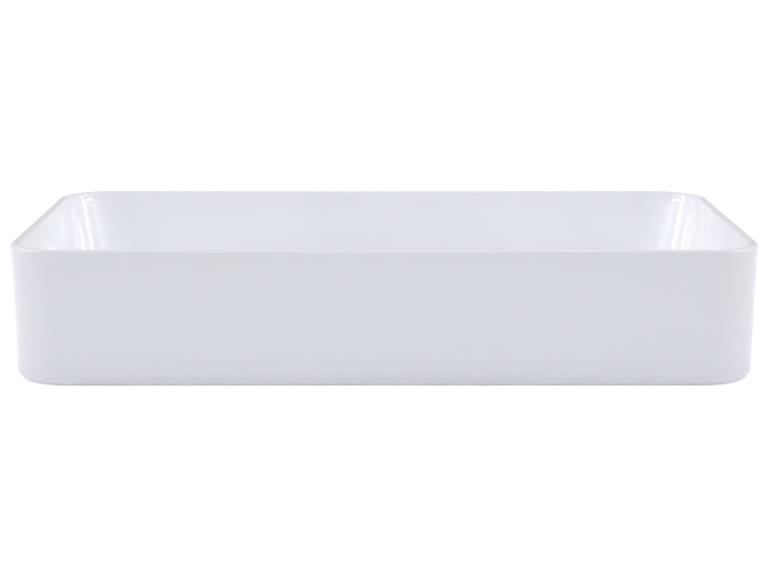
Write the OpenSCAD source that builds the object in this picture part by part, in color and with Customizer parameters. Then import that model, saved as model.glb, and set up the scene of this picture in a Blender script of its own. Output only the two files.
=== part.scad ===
// Rectangular thin-rim countertop basin in glazed ceramic, with its click-down drain waste.
// Millimetres. Z = 0 is the counter top and +Z is up. The origin is the middle of the
// footprint, the long side runs along X, and the front faces -Y.

/* [Basin] */
// Overall width at the rim
basin_w = 600; // [480:5:800]
// Overall depth at the rim, front to back
basin_d = 345; // [300:5:460]
// Height of the rim above the counter
basin_h = 110; // [98:1:150]
// Plan radius of the outer corners at the rim
corner_r = 48; // [42:1:80]
// Thickness of the rim, which is rounded all over
rim_t = 7; // [5:0.5:10]
// Lean of the outer walls, in degrees, so that the casting leaves its mould
outer_draft = 1.5; // [0.5:0.5:4]
// Lean of the inner walls, in degrees
inner_draft = 6.5; // [3:0.5:8]
// Radius of the bottom edge, where the outer walls turn under
base_edge_r = 8.5; // [5:0.5:14]

/* [Floor and foot] */
// Radius between the inner walls and the floor of the bowl
floor_fillet_r = 16; // [12:1:45]
// Thickness of the ceramic at the drain
floor_t = 12; // [10:0.5:16]
// Fall of the bowl's floor from its edge to the drain
floor_fall = 5; // [2:0.5:8]
// Width of the flat unglazed foot ring
foot_w = 9; // [8:0.5:16]
// Height of the hollow under the floor
recess_h = 30; // [29:1:38]
// Lean of the hollow's walls, in degrees
recess_draft = 5; // [1:1:8]
// Radius between the hollow's walls and its roof
recess_fillet_r = 12; // [4:1:16]

/* [Drain seat] */
// Radius of the drain hole
drain_r = 22.5; // [22:0.25:24]
// Radius of the round recess that the waste's flange lies in
seat_r = 35; // [34:0.5:40]
// Depth of that recess
seat_depth = 5; // [4:0.25:6]
// Radius of the thicker pad round the hole on the underside
pad_r = 44; // [38:1:60]
// Height of that pad
pad_h = 4; // [2:0.5:6]
// Radius of the slope round the pad
pad_slope = 4; // [1:0.5:8]

/* [Waste body] */
// Outer radius of the tail, a 1 1/4 inch pipe thread
tail_r = 20.955; // [20:0.005:21]
// Bore radius of the tail
tail_bore_r = 18; // [16.5:0.25:18.5]
// Height of the tail's end above the counter
tail_gap = 2; // [1:0.5:3]
// Chamfer at the tail's end, where a trap's nut starts
tail_chamfer = 0.8; // [0.4:0.1:1.2]
// Height of the relief groove between the tail's thread and the nut
relief_h = 1; // [0.5:0.25:1.5]
// Depth of that groove
relief_depth = 0.8; // [0.4:0.1:1.2]
// Outer radius of the flange
flange_r = 33; // [31:0.5:33.5]
// Thickness of the flange
flange_t = 3; // [2:0.25:3.5]
// Radius of the flange's top edge
flange_edge_r = 1.5; // [0.5:0.25:1.75]
// Radius of the mouth at the top of the flange
mouth_r = 22.5; // [21:0.25:24]
// Depth of the conical mouth, which the plug's seal closes
mouth_depth = 5; // [4:0.25:7]
// Outer radius of the hub that carries the cartridge
hub_r = 9.5; // [9:0.25:11]
// Height of the hub and its crossbar
hub_h = 6; // [4:0.5:7]
// Distance from the tail's end to the hub
hub_set = 1; // [0.5:0.5:2]
// Width of the crossbar
crossbar_w = 6; // [4:0.5:9]

/* [Seals and nut] */
// Thickness of the gasket under the flange
gasket_t = 2; // [1:0.25:2.5]
// Width that the gasket stays back from the flange's edge
gasket_set = 1; // [0.5:0.5:3]
// Thickness of the rubber washer under the basin
washer_t = 3.5; // [2:0.5:5]
// Height of the washer's collar in the drain hole
washer_collar_h = 2; // [1:0.5:4]
// Amount that the collar narrows towards its top
washer_taper = 1; // [0.2:0.1:1.2]
// Outer radius of the rubber washer
washer_r = 31; // [29:0.5:34]
// Thickness of the slip washer
slip_t = 1.5; // [1:0.25:2]
// Outer radius of the slip washer
slip_r = 30; // [28:0.5:32]
// Width across the flats of the back nut
nut_flats = 50; // [48:1:58]
// Height of the back nut
nut_h = 7; // [6:0.5:9]

/* [Cartridge] */
// Outer radius of the barrel
barrel_r = 9; // [8.75:0.05:9]
// Wall of the barrel
barrel_wall = 1.6; // [1.2:0.1:1.8]
// Depth of the guide ribs inside the barrel
rib_depth = 1.4; // [1:0.1:1.6]
// Number of guide ribs
rib_count = 4; // [3:1:6]
// Thickness of the barrel's neck, which guides the spindle
neck_t = 2.5; // [2.25:0.25:3]
// Distance of the barrel's top below the flange
barrel_set = 1; // [0.5:0.25:2]
// Thickness of the end cap's disc
end_disc_t = 1.5; // [1:0.25:2]
// Radius of the end cap's threaded stud
stud_r = 5; // [4:0.25:6]
// Thickness of the O-ring's rubber
oring_t = 1; // [0.8:0.1:1.2]

/* [Plug] */
// Travel of the plug from open to fully pressed
plug_travel = 9; // [7:0.25:9.5]
// Part of the travel that goes past the latched position
over_travel = 1; // [0.6:0.1:1.4]
// Radius of the spindle
spindle_r = 3.5; // [3:0.1:3.8]
// Height of the spindle's splined collar
collar_h = 4; // [3:0.25:5]
// Radius of the spindle's tail pin, which centres the rotor
tail_pin_r = 2; // [1.5:0.1:2.4]
// Length of the tail pin below the rotor
tail_pin_l = 2.5; // [1:0.25:3]
// Height of the index rotor
rotor_h = 4.5; // [3.5:0.25:5]
// Height of the crown teeth between the spindle and the rotor
crown_h = 1.2; // [0.8:0.1:1.6]
// Depth of the crown teeth towards the axis
crown_depth = 1; // [0.6:0.1:1.4]
// Radius of the cap
cap_r = 31; // [28:0.5:32.5]
// Height of the cap's straight edge
cap_edge_h = 3; // [2.5:0.25:4]
// Rise of the cap's dome above that edge
cap_dome = 1.8; // [1:0.1:3]
// Thickness of the cap's wall
cap_wall = 2; // [1.5:0.25:3]
// Depth of the hollow under the cap
cap_hollow = 1.5; // [1.25:0.25:2]
// Gap between the cap's edge and the flange when the plug is pressed
cap_gap = 0.5; // [0.3:0.1:1]
// Thickness of the carrier's disc
carrier_t = 1.3; // [1:0.1:1.5]
// Radius of the carrier's boss round the spindle
boss_r = 6; // [5:0.25:8]
// Radius of the carrier's spigot, which holds the seal
spigot_r = 17.4; // [16:0.1:17.4]
// Wall of that spigot
spigot_wall = 2.2; // [1.5:0.1:3]
// Height of the seal
seal_h = 3; // [2:0.25:3.5]
// Height of the lip that keeps the seal on its spigot
lip_h = 0.6; // [0.4:0.1:0.8]

/* [Spring] */
// Thickness of the spring's wire
wire_t = 0.9; // [0.7:0.05:1]
// Radius of the coil, to the middle of the wire
coil_r = 4.6; // [3.8:0.1:4.8]
// Number of coils
coil_count = 6; // [4:1:7]

/* [Hidden] */
$fn = 96;

// Clearance where one turned piece sits in another
fit = 0.05;
// Running clearance of the plug's moving pieces
running = 0.1;
// Play between splines and grooves, and between crown teeth
play = 0.2;
// Gap that the seal and the carrier keep when the plug is pressed right down
press_gap = 0.2;
// How far a cutting shape runs past the face that it cuts
past = 1;

// Heights, from the counter up
pad_z = recess_h - pad_h;
drain_floor_z = pad_z + floor_t;
edge_floor_z = drain_floor_z + floor_fall;
seat_z = drain_floor_z - seat_depth;
flange_z = seat_z + gasket_t;
flange_top = flange_z + flange_t;
mouth_z = flange_top - mouth_depth;
washer_z = pad_z - washer_t;
slip_z = washer_z - slip_t;
nut_z = slip_z - nut_h;
hub_z = tail_gap + hub_set;
hub_top = hub_z + hub_h;
spring_z = hub_top + end_disc_t;
barrel_top = flange_top - barrel_set;
neck_z = barrel_top - neck_t;
collar_z = neck_z - collar_h;
rotor_z = collar_z - rotor_h;
rotor_body_h = rotor_h - crown_h - play;
rib_end_z = rotor_z + rotor_body_h - plug_travel + over_travel;
cap_z = flange_top + cap_gap + plug_travel;
hollow_top = cap_z + cap_hollow;
carrier_z = hollow_top - carrier_t;
seal_z = carrier_z - seal_h;
boss_z = barrel_top + plug_travel + press_gap;

// Radii of the cartridge
barrel_bore_r = barrel_r - barrel_wall;
rib_r = barrel_bore_r - rib_depth;
core_r = rib_r - play;
spline_r = barrel_bore_r - play;
bar_reach = (tail_bore_r + tail_r) / 2;

// Angle of one rib or one groove, and of a spline that runs in a groove
rib_angle = 180 / rib_count;
spline_angle = rib_angle - 2 * asin(play / rib_r);

// Crown teeth between the spindle and the rotor, two for each rib
crown_count = 2 * rib_count;
crown_in = core_r - crown_depth;
crown_wide = 2 * crown_in * sin(180 / crown_count) - play;

// Section of the wall. Its x is measured outwards from the centre of the corner radius.
function on_circle(centre, radius, angle) = centre + radius * [cos(angle), sin(angle)];
rim_r = rim_t / 2;
rim_c = [corner_r - rim_r, basin_h - rim_r];
outer_tan = on_circle(rim_c, rim_r, -outer_draft);
inner_tan = on_circle(rim_c, rim_r, 180 - inner_draft);
function outer_x(z) = outer_tan[0] - (outer_tan[1] - z) * tan(outer_draft);
function inner_x(z) = inner_tan[0] - (inner_tan[1] - z) * tan(inner_draft);

// Bottom edge
base_c = [outer_x(base_edge_r) - base_edge_r / cos(outer_draft), base_edge_r];
base_tan = on_circle(base_c, base_edge_r, -outer_draft);

// Bowl fillet, which the corner radius limits, so that it ends outside the corner's centre
bowl_corner = [inner_x(edge_floor_z), edge_floor_z];
fillet_room = (bowl_corner[0] - past) * cos(inner_draft) / (1 - sin(inner_draft));
bowl_r = min(floor_fillet_r, fillet_room);
bowl_c_z = edge_floor_z + bowl_r;
bowl_c = [inner_x(bowl_c_z) - bowl_r / cos(inner_draft), bowl_c_z];
bowl_tan = on_circle(bowl_c, bowl_r, -inner_draft);

// Hollow under the floor
foot_in = base_c[0] - foot_w;
function recess_x(z) = foot_in - z * tan(recess_draft);
recess_c_z = recess_h - recess_fillet_r;
recess_c = [recess_x(recess_c_z) - recess_fillet_r / cos(recess_draft), recess_c_z];
recess_tan = on_circle(recess_c, recess_fillet_r, recess_draft);
recess_corner = [recess_x(recess_h), recess_h];

// Rectangle through the centres of the four corner radii
core_w = basin_w - 2 * corner_r;
core_d = basin_d - 2 * corner_r;

module wall_section() {
    polygon([[0, recess_h], recess_corner, [foot_in, 0], [base_c[0], 0], base_c, base_tan,
        outer_tan, rim_c, inner_tan, bowl_corner, [0, edge_floor_z]]);
    translate(base_c) circle(r = base_edge_r);
    translate(rim_c) circle(r = rim_r);
    difference() {
        polygon([[bowl_c[0], edge_floor_z], bowl_corner, bowl_tan]);
        translate(bowl_c) circle(r = bowl_r);
    }
    difference() {
        polygon([[recess_c[0], recess_h], recess_corner, recess_tan]);
        translate(recess_c) circle(r = recess_fillet_r);
    }
}

// A quarter of the wall: one corner and the straight run before it
module wall_quarter(quarter) {
    across = quarter % 2 == 0 ? core_w : core_d;
    along = quarter % 2 == 0 ? core_d : core_w;
    rotate([0, 0, 90 * quarter]) translate([across / 2, along / 2, 0]) {
        rotate_extrude(angle = 90) wall_section();
        rotate([90, 0, 0]) linear_extrude(along) wall_section();
    }
}

// The floor inside the core rectangle, which falls to the drain
module floor_plate() {
    difference() {
        union() {
            translate([-core_w / 2, -core_d / 2, recess_h])
                cube([core_w, core_d, edge_floor_z - recess_h]);
            translate([0, 0, pad_z]) cylinder(r1 = pad_r, r2 = pad_r + pad_slope, h = pad_h);
        }
        hull() {
            translate([-core_w / 2, -core_d / 2, edge_floor_z]) cube([core_w, core_d, past]);
            translate([0, 0, drain_floor_z]) cylinder(r = seat_r, h = past, $fn = 32);
        }
        cylinder_between(seat_r, seat_z, edge_floor_z + past);
        cylinder_between(drain_r, pad_z - past, edge_floor_z + past);
    }
}

module ceramic_basin() {
    color("ghostwhite") {
        for (quarter = [0:3]) wall_quarter(quarter);
        floor_plate();
    }
}

module cylinder_between(radius, low, high) {
    translate([0, 0, low]) cylinder(r = radius, h = high - low);
}

// A ring with a plain rectangular section
module ring(inner, outer, height) {
    rotate_extrude() translate([inner, 0]) square([outer - inner, height]);
}

module flange_gasket() {
    color("dimgray") translate([0, 0, seat_z])
        ring(tail_r + fit, flange_r - gasket_set, gasket_t);
}

module waste_body() {
    color("silver") {
        rotate_extrude() {
            polygon([[tail_bore_r, tail_gap], [tail_r - tail_chamfer, tail_gap],
                [tail_r, tail_gap + tail_chamfer], [tail_r, nut_z - relief_h],
                [tail_r - relief_depth, nut_z - relief_h], [tail_r - relief_depth, nut_z],
                [tail_r, nut_z], [tail_r, flange_z],
                [flange_r, flange_z], [flange_r, flange_top - flange_edge_r],
                [flange_r - flange_edge_r, flange_top - flange_edge_r],
                [flange_r - flange_edge_r, flange_top], [mouth_r, flange_top],
                [tail_bore_r, mouth_z]]);
            translate([flange_r, flange_top] - flange_edge_r * [1, 1]) circle(r = flange_edge_r);
        }
        translate([0, 0, hub_z]) difference() {
            union() {
                cylinder(r = hub_r, h = hub_h);
                translate([-crossbar_w / 2, -bar_reach, 0]) cube([crossbar_w, 2 * bar_reach, hub_h]);
            }
            translate([0, 0, -past]) cylinder(r = stud_r + fit, h = hub_h + 2 * past);
        }
    }
}

module lower_washer() {
    color("dimgray") rotate_extrude() polygon([[tail_r + fit, washer_z], [washer_r, washer_z],
        [washer_r, pad_z], [drain_r - fit, pad_z],
        [drain_r - fit - washer_taper, pad_z + washer_collar_h],
        [tail_r + fit, pad_z + washer_collar_h]]);
}

module slip_washer() {
    color("ivory") translate([0, 0, slip_z]) ring(tail_r + fit, slip_r, slip_t);
}

module back_nut() {
    color("goldenrod") translate([0, 0, nut_z]) difference() {
        intersection() {
            cylinder(r = nut_flats / sqrt(3), h = nut_h, $fn = 6);
            cylinder(r1 = nut_flats / 2, r2 = nut_flats / 2 + nut_h, h = nut_h);
        }
        translate([0, 0, -past]) cylinder(r = tail_r + fit, h = nut_h + 2 * past);
    }
}

// A right-angled tooth or ramp that stands on its long side, drawn out from the axis
module ramp(inner, outer, wide, high) {
    translate([inner, 0, 0]) rotate([90, 0, 90]) linear_extrude(outer - inner)
        polygon([[-wide / 2, 0], [wide / 2, 0], [wide / 2, high]]);
}

// Sectors of a ring that repeat round the axis
module sectors(inner, outer, height, angle, count) {
    for (i = [0:count - 1]) rotate([0, 0, 360 / count * i - angle / 2])
        rotate_extrude(angle = angle) translate([inner, 0]) square([outer - inner, height]);
}

module cartridge_barrel() {
    color("whitesmoke") difference() {
        union() {
            translate([0, 0, hub_top]) ring(barrel_bore_r, barrel_r, barrel_top - hub_top);
            translate([0, 0, neck_z]) ring(spindle_r + running, barrel_bore_r, neck_t);
            rotate([0, 0, rib_angle]) difference() {
                translate([0, 0, rib_end_z])
                    sectors(rib_r, barrel_bore_r, neck_z - rib_end_z, rib_angle, rib_count);
                for (i = [0:rib_count - 1]) rotate([0, 0, 360 / rib_count * i])
                    translate([0, 0, rib_end_z])
                        ramp(core_r - past, barrel_r, 2 * barrel_r * sin(rib_angle / 2), crown_h);
            }
        }
        translate([0, 0, neck_z + neck_t / 2]) rotate_extrude()
            translate([spindle_r + fit, -oring_t / 2]) square(oring_t);
    }
}

module spindle_oring() {
    color("black") translate([0, 0, neck_z + neck_t / 2]) rotate_extrude()
        translate([spindle_r + fit + oring_t / 2, 0]) circle(d = oring_t);
}

module cartridge_end_cap() {
    color("whitesmoke") {
        translate([0, 0, hub_top]) cylinder(r = barrel_bore_r - fit, h = end_disc_t);
        translate([0, 0, hub_z]) cylinder(r = stud_r, h = hub_h);
    }
}

// Crown of ramps, which the spindle and the rotor turn towards each other
module crown() {
    intersection() {
        for (i = [0:crown_count - 1]) rotate([0, 0, 360 / crown_count * i])
            ramp(crown_in, core_r + past, crown_wide, crown_h);
        cylinder(r = core_r, h = crown_h + past);
    }
}

// Round core with the splines that run in the barrel's grooves
module splined_core(height) {
    cylinder(r = core_r, h = height);
    sectors(core_r - fit, spline_r, height, spline_angle, rib_count);
}

module spindle() {
    color("goldenrod") {
        translate([0, 0, collar_z]) {
            splined_core(collar_h);
            mirror([0, 0, 1]) crown();
        }
        cylinder_between(spindle_r, neck_z, hollow_top - play);
        cylinder_between(tail_pin_r, rotor_z - tail_pin_l, collar_z);
    }
}

module index_rotor() {
    color("whitesmoke") translate([0, 0, rotor_z]) difference() {
        union() {
            splined_core(rotor_body_h);
            translate([0, 0, rotor_body_h]) mirror([0, 1, 0]) crown();
        }
        translate([0, 0, -past]) cylinder(r = tail_pin_r + running, h = rotor_h + 2 * past);
    }
}

module plug_carrier() {
    color("whitesmoke") difference() {
        union() {
            translate([0, 0, carrier_z]) cylinder(r = cap_r - cap_wall - fit, h = carrier_t);
            translate([0, 0, boss_z]) cylinder(r = boss_r, h = carrier_z - boss_z);
            translate([0, 0, seal_z - fit]) ring(spigot_r - spigot_wall, spigot_r, seal_h + fit);
            translate([0, 0, seal_z - fit - lip_h])
                ring(spigot_r - spigot_wall, spigot_r + lip_h, lip_h);
        }
        cylinder_between(spindle_r + fit, boss_z - past, hollow_top + past);
    }
}

// Radius of the plug's seal at a height, parallel to the conical mouth when it is pressed
function seal_r(z) = tail_bore_r - press_gap
    + (z - plug_travel - mouth_z) * (mouth_r - tail_bore_r) / mouth_depth;

module plug_seal() {
    lip_z = flange_top + plug_travel;
    color("black") rotate_extrude() polygon([[spigot_r + fit, seal_z], [seal_r(seal_z), seal_z],
        [seal_r(lip_z), lip_z], [seal_r(lip_z), carrier_z], [spigot_r + fit, carrier_z]]);
}

module plug_cap() {
    dome_r = (pow(cap_r, 2) + pow(cap_dome, 2)) / (2 * cap_dome);
    dome_top = cap_z + cap_edge_h + cap_dome;
    color("silver") difference() {
        rotate_extrude() intersection() {
            translate([0, cap_z]) square([cap_r, dome_top - cap_z]);
            translate([0, dome_top - dome_r]) circle(r = dome_r, $fn = 1440);
        }
        cylinder_between(cap_r - cap_wall, cap_z - past, hollow_top);
    }
}

// Path of the spring's wire: a coil with a short straight leg at each end
coil_low = spring_z + wire_t;
coil_high = rotor_z - wire_t;
coil_rings = 8 * coil_count;
function coil_point(i) = let (turn = i / coil_rings)
    [coil_r * cos(360 * coil_count * turn), coil_r * sin(360 * coil_count * turn),
        coil_low + (coil_high - coil_low) * turn];
wire_path = concat([[coil_r, 0, spring_z]], [for (i = [0:coil_rings]) coil_point(i)],
    [[coil_r, 0, rotor_z]]);

// Least gap from the wire to the next coil, measured on the points of the path
coil_gaps = [for (i = [0:coil_rings - 8], j = [i + 5:min(i + 11, coil_rings)])
    norm(coil_point(i) - coil_point(j)) - wire_t];

module return_spring() {
    echo(least_gap_between_coils = min(coil_gaps));
    sides = 6;
    last = len(wire_path) - 1;
    // each ring of points stands upright at the legs and across the coil between them
    points = [for (i = [0:last], s = [0:sides - 1]) let (
            angle = 360 * coil_count * (i - 1) / coil_rings,
            leg = i == 0 || i == last,
            radial = leg ? [1, 0, 0] : [cos(angle), sin(angle), 0],
            upward = leg ? [0, -1, 0] : [0, 0, 1])
        wire_path[i] + wire_t / 2 * (radial * cos(60 * s) + upward * sin(60 * s))];
    quads = [for (i = [0:last - 1], s = [0:sides - 1]) let (t = (s + 1) % sides)
        each [[i * sides + s, (i + 1) * sides + s, (i + 1) * sides + t],
            [i * sides + s, (i + 1) * sides + t, i * sides + t]]];
    ends = [[for (s = [0:sides - 1]) s], [for (s = [sides - 1:-1:0]) last * sides + s]];
    color("lightsteelblue") polyhedron(points, concat(quads, ends));
}

ceramic_basin();
flange_gasket();
waste_body();
lower_washer();
slip_washer();
back_nut();
cartridge_barrel();
cartridge_end_cap();
spindle_oring();
return_spring();
index_rotor();
spindle();
plug_carrier();
plug_seal();
plug_cap();
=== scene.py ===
# %% [markdown]
# A countertop basin in glazed ceramic, with the click-down waste in its drain.
#
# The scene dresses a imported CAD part. That part is a fixed frame: it says where every piece sits, in
# metres, with the counter at z = 0 and the front of the basin towards -Y. A piece whose CAD shape is
# already right only gets a finish. A piece that needs a softer or a finer shape is modelled again
# here, in the same place, and stands in for its CAD node.

# %% Load the frame
import math

import bmesh
import bpy
from mathutils import Euler, Matrix, Vector, noise


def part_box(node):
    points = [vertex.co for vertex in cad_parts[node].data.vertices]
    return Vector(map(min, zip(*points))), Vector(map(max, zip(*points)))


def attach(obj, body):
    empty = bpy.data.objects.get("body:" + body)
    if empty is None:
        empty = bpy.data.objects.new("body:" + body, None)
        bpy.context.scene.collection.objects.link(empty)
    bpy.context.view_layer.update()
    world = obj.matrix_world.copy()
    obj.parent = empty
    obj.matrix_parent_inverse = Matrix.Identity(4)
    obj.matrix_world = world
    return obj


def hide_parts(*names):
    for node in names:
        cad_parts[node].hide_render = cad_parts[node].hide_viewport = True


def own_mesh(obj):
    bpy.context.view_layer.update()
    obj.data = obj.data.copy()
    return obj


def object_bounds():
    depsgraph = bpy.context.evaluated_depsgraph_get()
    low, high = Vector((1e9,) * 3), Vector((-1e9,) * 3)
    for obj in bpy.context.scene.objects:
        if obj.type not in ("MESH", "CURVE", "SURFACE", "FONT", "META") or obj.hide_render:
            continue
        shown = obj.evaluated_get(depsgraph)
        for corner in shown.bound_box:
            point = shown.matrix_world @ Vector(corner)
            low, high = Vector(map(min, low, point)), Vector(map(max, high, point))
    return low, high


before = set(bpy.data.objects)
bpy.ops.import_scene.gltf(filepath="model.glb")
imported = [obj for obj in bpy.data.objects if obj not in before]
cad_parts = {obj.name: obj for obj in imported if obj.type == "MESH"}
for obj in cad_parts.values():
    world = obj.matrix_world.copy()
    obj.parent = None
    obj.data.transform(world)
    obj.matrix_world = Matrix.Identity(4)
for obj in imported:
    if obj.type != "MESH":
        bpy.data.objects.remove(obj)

cad_low, cad_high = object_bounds()
mm = 0.001


def in_mm(*values):
    """Sizes written in millimetres, as a list in metres."""
    return [value * mm for value in values]


print("CAD box in mm:", [round(side / mm, 2) for side in cad_high - cad_low])
print("CAD nodes:", sorted(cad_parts))

# %% [markdown]
# The camera stands in front of the basin and a little above its rim, with a long lens, so that the
# side walls hardly open towards the viewer. Its place comes from the photograph: the four corners of
# the rim and the two ends of the foot only fall where they do from one point. The lens is written
# as its focal length in pixels, which is what such a fit gives, and turned into millimetres here.

# %% Camera
photo_width = 768
focal_pixels = 1984.5
sensor_width = 36
camera_place = Vector((-0.0098, -1.6979, 0.3682))
camera_dip = math.radians(10.689)
camera_turn = math.radians(-0.335)
camera_roll = math.radians(0.065)

lens = bpy.data.cameras.new("camera")
lens.sensor_width = sensor_width
lens.lens = focal_pixels * sensor_width / photo_width
camera = bpy.data.objects.new("camera", lens)
camera.location = camera_place
aim = Euler((math.radians(90) - camera_dip, 0, camera_turn)).to_matrix()
camera.rotation_euler = (aim @ Matrix.Rotation(camera_roll, 3, "Z")).to_euler()
bpy.context.scene.collection.objects.link(camera)
bpy.context.scene.camera = camera
bpy.context.scene.view_settings.view_transform = "Standard"
print("lens in mm:", round(lens.lens, 1))

# %% [markdown]
# Shader trees are easier to read when a node is one call: its kind, its inputs and its settings. An
# input is either a plain value or the output of another node, which is then linked.

# %% Helpers for shader trees
def add(tree, kind, inputs=None, **settings):
    """Adds one shader node. Inputs are values or outputs of other nodes, named or numbered."""
    made = tree.nodes.new("ShaderNode" + kind)
    for name, value in settings.items():
        setattr(made, name, value)
    for name, value in (inputs or {}).items():
        if isinstance(value, bpy.types.NodeSocket):
            tree.links.new(value, made.inputs[name])
        else:
            made.inputs[name].default_value = value
    return made


def math_node(tree, operation, first, second=0.0):
    """The output of one Math node."""
    return add(tree, "Math", {0: first, 1: second}, operation=operation).outputs[0]


def rescale(tree, value, low, high, to_low=0.0, to_high=1.0):
    """A value taken smoothly from one range to another, and held inside it."""
    inputs = {"Value": value, "From Min": low, "From Max": high, "To Min": to_low, "To Max": to_high}
    return add(tree, "MapRange", inputs, interpolation_type="SMOOTHSTEP").outputs[0]


def mix_value(tree, factor, first, second):
    """A number between two numbers."""
    return add(tree, "Mix", {"Factor": factor, "A": first, "B": second}).outputs[0]


def mix_colour(tree, factor, first, second):
    """A colour between two colours, which a Mix node takes at inputs 6 and 7."""
    inputs = {"Factor": factor, 6: first, 7: second}
    return add(tree, "Mix", inputs, data_type="RGBA").outputs[2]


def start_material(name):
    """A new material with an empty tree, and that tree."""
    material = bpy.data.materials.new(name)
    material.use_nodes = True
    material.node_tree.nodes.clear()
    return material, material.node_tree


def finish_material(tree, **inputs):
    """Ends a tree in a Principled shader. An input named base_color feeds Base Color."""
    named = {name.replace("_", " ").title().replace("Ior", "IOR"): v for name, v in inputs.items()}
    shader = add(tree, "BsdfPrincipled", named)
    output = add(tree, "OutputMaterial")
    tree.links.new(shader.outputs[0], output.inputs["Surface"])
    return shader


def relief(tree, height, depth):
    """A normal from a height, where depth is the relief's real depth in metres."""
    return add(tree, "Bump", {"Height": height, "Distance": depth, "Strength": 1.0}).outputs[0]


# %% [markdown]
# The basin was photographed on a white table, and the picture's background was then cleared to plain
# white. So camera rays find the floor and the world white or a little above it. The lamps brighten
# the floor near the basin, so its own glow is low there and grows with the distance. The rays that
# the glaze and the chrome send out find white walls at the two sides and a dimmer room at the front
# and the back. The table is translucent and lit from below too, which is why no shadow darkens the
# basin's foot, and the room itself gives a low, even light. The floor lies a hair below the foot, so
# that the two never share a plane, and it is clear from below, so that the underside can be seen.

# %% Floor and world
floor_radius = 14.0
floor_sides = 96
foot_clearance = 0.1 * mm
floor_tone = (0.93, 0.93, 0.935, 1.0)
near_glow = 0.42
far_glow = 1.02
glow_reach = (0.4, 1.6)
mirrored_floor = 0.5
mirrored_back = 0.5
mirrored_sides = 1.4
floor_light = 0.2
room_light = 0.375
white = (1.0, 1.0, 1.0, 1.0)


def for_each_ray(tree, looked_at, mirrored, lighting):
    """One value for rays that look straight at a thing, one for mirrors, one for rays of light."""
    path = add(tree, "LightPath").outputs
    straight_on = math_node(tree, "MAXIMUM", path["Is Camera Ray"], path["Is Transmission Ray"])
    value = mix_value(tree, path["Is Glossy Ray"], lighting, mirrored)
    return mix_value(tree, straight_on, value, looked_at)


def make_floor():
    """A round pale floor, whose glow grows where the lamps no longer reach. From below it is clear."""
    mesh = bpy.data.meshes.new("floor")
    builder = bmesh.new()
    bmesh.ops.create_circle(builder, cap_ends=True, segments=floor_sides, radius=floor_radius)
    builder.to_mesh(mesh)
    builder.free()
    floor = bpy.data.objects.new("floor", mesh)
    bpy.context.scene.collection.objects.link(floor)
    material, tree = start_material("pale floor")
    place = add(tree, "TexCoord").outputs["Object"]
    away = add(tree, "VectorMath", {0: place}, operation="LENGTH").outputs["Value"]
    glow = rescale(tree, away, *glow_reach, near_glow, far_glow)
    mirrored_glow = math_node(tree, "MULTIPLY", glow, mirrored_floor)
    glow = for_each_ray(tree, glow, mirrored_glow, floor_light)
    from_above = math_node(tree, "SUBTRACT", 1.0, add(tree, "NewGeometry").outputs["Backfacing"])
    finish_material(tree, base_color=floor_tone, roughness=1.0, emission_color=white,
                    emission_strength=glow, specular_ior_level=0.0, alpha=from_above)
    mesh.materials.append(material)
    floor.location.z = -foot_clearance
    return floor


def sideways(tree):
    """1 towards the two sides of the studio, falling to 0 towards its front and back."""
    way = add(tree, "SeparateXYZ", {0: add(tree, "TexCoord").outputs["Generated"]}).outputs
    return math_node(tree, "POWER", way["X"], 2.0)


def make_world():
    """White for the camera, and for mirrors brighter at the sides than at the front and back."""
    world = bpy.data.worlds.new("studio")
    world.use_nodes = True
    tree = world.node_tree
    tree.nodes.clear()
    walls = mix_value(tree, sideways(tree), mirrored_back, mirrored_sides)
    strength = for_each_ray(tree, 1.0, walls, room_light)
    background = add(tree, "Background", {"Color": white, "Strength": strength})
    output = add(tree, "OutputWorld")
    tree.links.new(background.outputs[0], output.inputs["Surface"])
    bpy.context.scene.world = world


floor = make_floor()
make_world()
print("floor radius in m:", floor_radius, "light from the floor:", floor_light)

# %% [markdown]
# The glaze tells where the lamps stood. The narrow bright streaks in the two far corners of the bowl
# are mirror images of a tall softbox at each side, and the fainter streaks beside them come from a
# smaller pair further forward. The wide streak next to them is a low strip, seen after two or three
# bounces inside the bowl. The strips only show in the glaze and light nothing, because the basin's
# outer corners, which face them, are no brighter in the photograph than its front wall. One large
# lamp overhead gives most of the light, and it doesn't show in the glaze. A lamp is placed by the
# direction that it shines from, and sized by how bright its face is, which is what a mirror image
# shows. Blender wants watts, so the face's brightness is turned into them.

# %% Lamps
watts_per_brightness = math.pi
bowl_middle = Vector((0, 0, cad_high.z / 2))


def softbox(name, azimuth, elevation, distance, size, brightness, tone, mirrored=True, lights=True):
    """A rectangular lamp. Azimuth is in degrees from the back wall's direction towards +X.

    A lamp that isn't mirrored never shows in the glaze. One that doesn't light only shows there.
    """
    lamp = bpy.data.lights.new(name, "AREA")
    lamp.shape = "RECTANGLE"
    lamp.size, lamp.size_y = size
    lamp.energy = brightness * size[0] * size[1] * watts_per_brightness
    lamp.color = tone
    holder = bpy.data.objects.new(name, lamp)
    turn = math.radians(azimuth)
    rise = math.radians(elevation)
    level = math.cos(rise)
    away = Vector((math.sin(turn) * level, math.cos(turn) * level, math.sin(rise)))
    holder.location = bowl_middle + away * distance
    holder.rotation_euler = away.to_track_quat("Z", "Y").to_euler()
    holder.visible_camera = False
    holder.visible_glossy = mirrored
    holder.visible_diffuse = lights
    bpy.context.scene.collection.objects.link(holder)
    print(name, "watts:", round(lamp.energy, 2))
    return holder


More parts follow.
